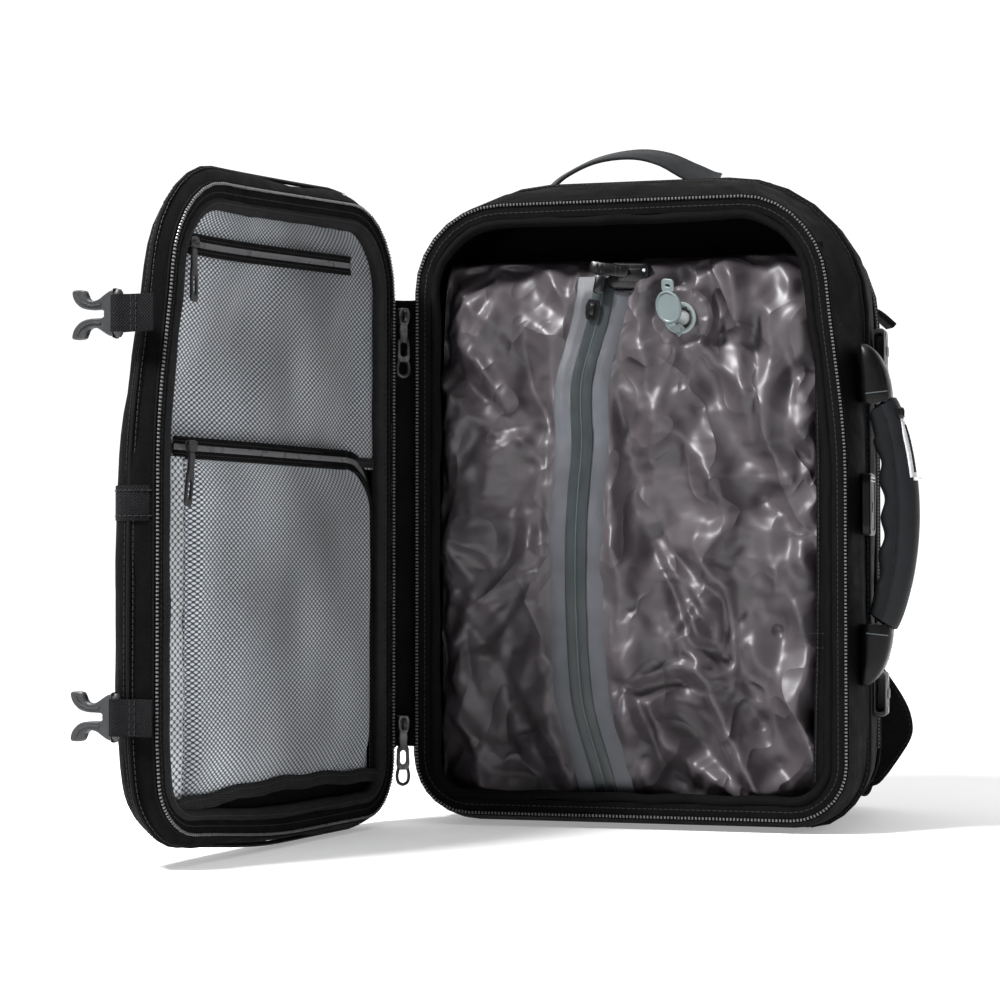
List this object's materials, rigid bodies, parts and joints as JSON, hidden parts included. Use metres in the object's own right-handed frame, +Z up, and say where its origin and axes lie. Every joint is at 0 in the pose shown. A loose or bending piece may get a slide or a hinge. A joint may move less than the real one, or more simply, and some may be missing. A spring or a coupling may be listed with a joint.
{
  "type": "travel backpack",
  "caption": "Clamshell travel backpack standing open, with mesh lid pockets, a vacuum-compression bag with valve inside, buckles, zips, side grip, top handle and shoulder straps.",
  "frame": {"origin": "on the floor under the middle of the body, on the flat of its base", "axes": "+Z up, +X towards the side handle, -Y out of the opening, +Y towards the shoulder straps"},
  "size_m": [0.5408, 0.5914, 0.5255],
  "materials": {
    "nylon_shell": "matte",
    "black_webbing": "matte",
    "zip_tape": "satin",
    "zip_metal": "satin",
    "zip_puller": "satin",
    "gloss_black": "gloss",
    "grey_plastic": "satin",
    "grey_rubber": "satin",
    "grey_mesh": "matte",
    "bag_nylon": "satin",
    "bag_zip": "satin",
    "valve_grey": "satin",
    "valve_white": "satin",
    "chrome": "polished",
    "back_foam": "matte"
  },
  "bodies": {
    "body": {"body_shell": "nylon_shell", "body_lining": "nylon_shell", "body_zip_tape": "zip_tape", "rear_zip_tape": "zip_tape", "hinge_gusset": "nylon_shell", "divider_panel": "nylon_shell", "laptop_sleeve": "back_foam", "inner_strap": "black_webbing", "back_panel": "nylon_shell", "back_pad_left": "back_foam", "back_pad_right": "back_foam", "luggage_band": "nylon_shell", "shoulder_strap_left": "nylon_shell", "shoulder_strap_right": "nylon_shell", "strap_webbing_left": "black_webbing", "strap_webbing_right": "black_webbing", "side_handle_cowl_upper": "gloss_black", "side_handle_cowl_lower": "gloss_black", "side_plate_frame": "zip_metal", "side_plate_insert": "gloss_black", "buckle_socket_upper": "grey_plastic", "buckle_socket_lower": "grey_plastic", "socket_webbing_upper": "black_webbing", "socket_webbing_lower": "black_webbing", "vacuum_bag": "bag_nylon", "bag_zip_tape": "bag_zip", "bag_zip_dock": "gloss_black", "valve_flange": "bag_nylon", "valve_ring": "valve_grey", "valve_membrane": "valve_white"},
    "lid": {"lid_shell": "nylon_shell", "lid_zip_tape": "zip_tape", "lid_lining": "nylon_shell", "mesh_pocket_upper": "grey_mesh", "mesh_pocket_lower": "grey_mesh", "pocket_zip_upper": "zip_tape", "pocket_zip_lower": "zip_tape", "pocket_elastic": "black_webbing"},
    "buckle_upper": {"buckle_webbing_upper": "black_webbing", "buckle_plug_upper": "grey_plastic"},
    "buckle_lower": {"buckle_webbing_lower": "black_webbing", "buckle_plug_lower": "grey_plastic"},
    "pocket_slider_upper": {"pocket_slider_upper": "zip_metal"},
    "pocket_pull_upper": {"pocket_pull_upper": "zip_puller"},
    "pocket_slider_lower": {"pocket_slider_lower": "zip_metal"},
    "pocket_pull_lower": {"pocket_pull_lower": "zip_puller"},
    "main_slider_low": {"main_zip_slider_low": "zip_metal"},
    "main_pull_low": {"main_zip_pull_low": "zip_metal"},
    "main_slider_high": {"main_zip_slider_high": "zip_metal"},
    "main_pull_high": {"main_zip_pull_high": "zip_metal"},
    "rear_slider": {"rear_zip_slider": "zip_metal"},
    "rear_pull": {"rear_zip_pull": "zip_metal"},
    "top_handle": {"top_handle": "grey_rubber"},
    "side_grip": {"side_handle_grip": "grey_rubber", "side_handle_trim": "chrome"},
    "bag_slider": {"bag_zip_slider": "gloss_black"},
    "bag_pull": {"bag_zip_pull": "gloss_black"},
    "valve_cap": {"valve_cap": "valve_grey"},
    "ladder_lock_left": {"ladder_lock_left": "grey_plastic"},
    "ladder_lock_right": {"ladder_lock_right": "grey_plastic"}
  },
  "joints": [
    {"name": "lid_hinge", "type": "hinge", "parent": "body", "child": "lid", "pos_m": [-0.1815, -0.0999, 0.25], "axis": [0, 0, 1], "range_deg": [-65, 100]},
    {"name": "buckle_upper_fold", "type": "hinge", "parent": "lid", "child": "buckle_upper", "pos_m": [-0.25063, -0.45225, 0.38], "axis": [0, 0, 1], "range_deg": [0, 120]},
    {"name": "buckle_lower_fold", "type": "hinge", "parent": "lid", "child": "buckle_lower", "pos_m": [-0.25063, -0.45225, 0.11], "axis": [0, 0, 1], "range_deg": [0, 120]},
    {"name": "pocket_zip_upper_slide", "type": "slide", "parent": "lid", "child": "pocket_slider_upper", "axis": [0.1736, 0.9848, 0], "range_m": [0, 0.23]},
    {"name": "pocket_pull_upper_swing", "type": "hinge", "parent": "pocket_slider_upper", "child": "pocket_pull_upper", "pos_m": [-0.24329, -0.4175, 0.4358], "axis": [0.1736, 0.9848, 0], "range_deg": [-80, 0]},
    {"name": "pocket_zip_lower_slide", "type": "slide", "parent": "lid", "child": "pocket_slider_lower", "axis": [0.1736, 0.9848, 0], "range_m": [0, 0.228]},
    {"name": "pocket_pull_lower_swing", "type": "hinge", "parent": "pocket_slider_lower", "child": "pocket_pull_lower", "pos_m": [-0.23359, -0.41718, 0.2798], "axis": [0.1736, 0.9848, 0], "range_deg": [-80, 0]},
    {"name": "main_zip_low_slide", "type": "slide", "parent": "body", "child": "main_slider_low", "axis": [0, 0, 1], "range_m": [-0.025, 0.025]},
    {"name": "main_pull_low_swing", "type": "hinge", "parent": "main_slider_low", "child": "main_pull_low", "pos_m": [-0.1815, -0.0999, 0.0708], "axis": [0.766, 0.6428, 0], "range_deg": [-75, 0]},
    {"name": "main_zip_high_slide", "type": "slide", "parent": "body", "child": "main_slider_high", "axis": [0, 0, 1], "range_m": [-0.006, 0.03]},
    {"name": "main_pull_high_swing", "type": "hinge", "parent": "main_slider_high", "child": "main_pull_high", "pos_m": [-0.1815, -0.0999, 0.3948], "axis": [0.766, 0.6428, 0], "range_deg": [-75, 0]},
    {"name": "rear_zip_slide", "type": "slide", "parent": "body", "child": "rear_slider", "axis": [0, 0, 1], "range_m": [-0.15, 0.1]},
    {"name": "rear_pull_swing", "type": "hinge", "parent": "rear_slider", "child": "rear_pull", "pos_m": [-0.1867, 0.039, 0.2918], "axis": [0, 1, 0], "range_deg": [0, 80]},
    {"name": "top_handle_fold", "type": "hinge", "parent": "body", "child": "top_handle", "pos_m": [0, -0.03, 0.511], "axis": [1, 0, 0], "range_deg": [-25, 25], "stiffness_Nm_per_rad": 0.05},
    {"name": "side_grip_pull", "type": "slide", "parent": "body", "child": "side_grip", "axis": [1, 0, 0], "range_m": [0, 0.008], "stiffness_N_per_m": 400},
    {"name": "bag_zip_slide", "type": "slide", "parent": "body", "child": "bag_slider", "axis": [-0.1723, 0, -0.9851], "range_m": [0, 0.075]},
    {"name": "bag_pull_swing", "type": "hinge", "parent": "bag_slider", "child": "bag_pull", "pos_m": [-0.02978, -0.0885, 0.4145], "axis": [-1, 0, 0], "range_deg": [-90, 0]},
    {"name": "valve_cap_swing", "type": "hinge", "parent": "body", "child": "valve_cap", "pos_m": [0.0275, -0.0874, 0.3865], "axis": [0.2966, -0.8874, -0.3531], "range_deg": [-51.5, 15]},
    {"name": "ladder_lock_left_tilt", "type": "hinge", "parent": "body", "child": "ladder_lock_left", "pos_m": [-0.1515, 0.131, 0.0555], "axis": [1, 0, 0], "range_deg": [0, 25]},
    {"name": "ladder_lock_right_tilt", "type": "hinge", "parent": "body", "child": "ladder_lock_right", "pos_m": [0.1515, 0.131, 0.0555], "axis": [1, 0, 0], "range_deg": [0, 25]}
  ]
}
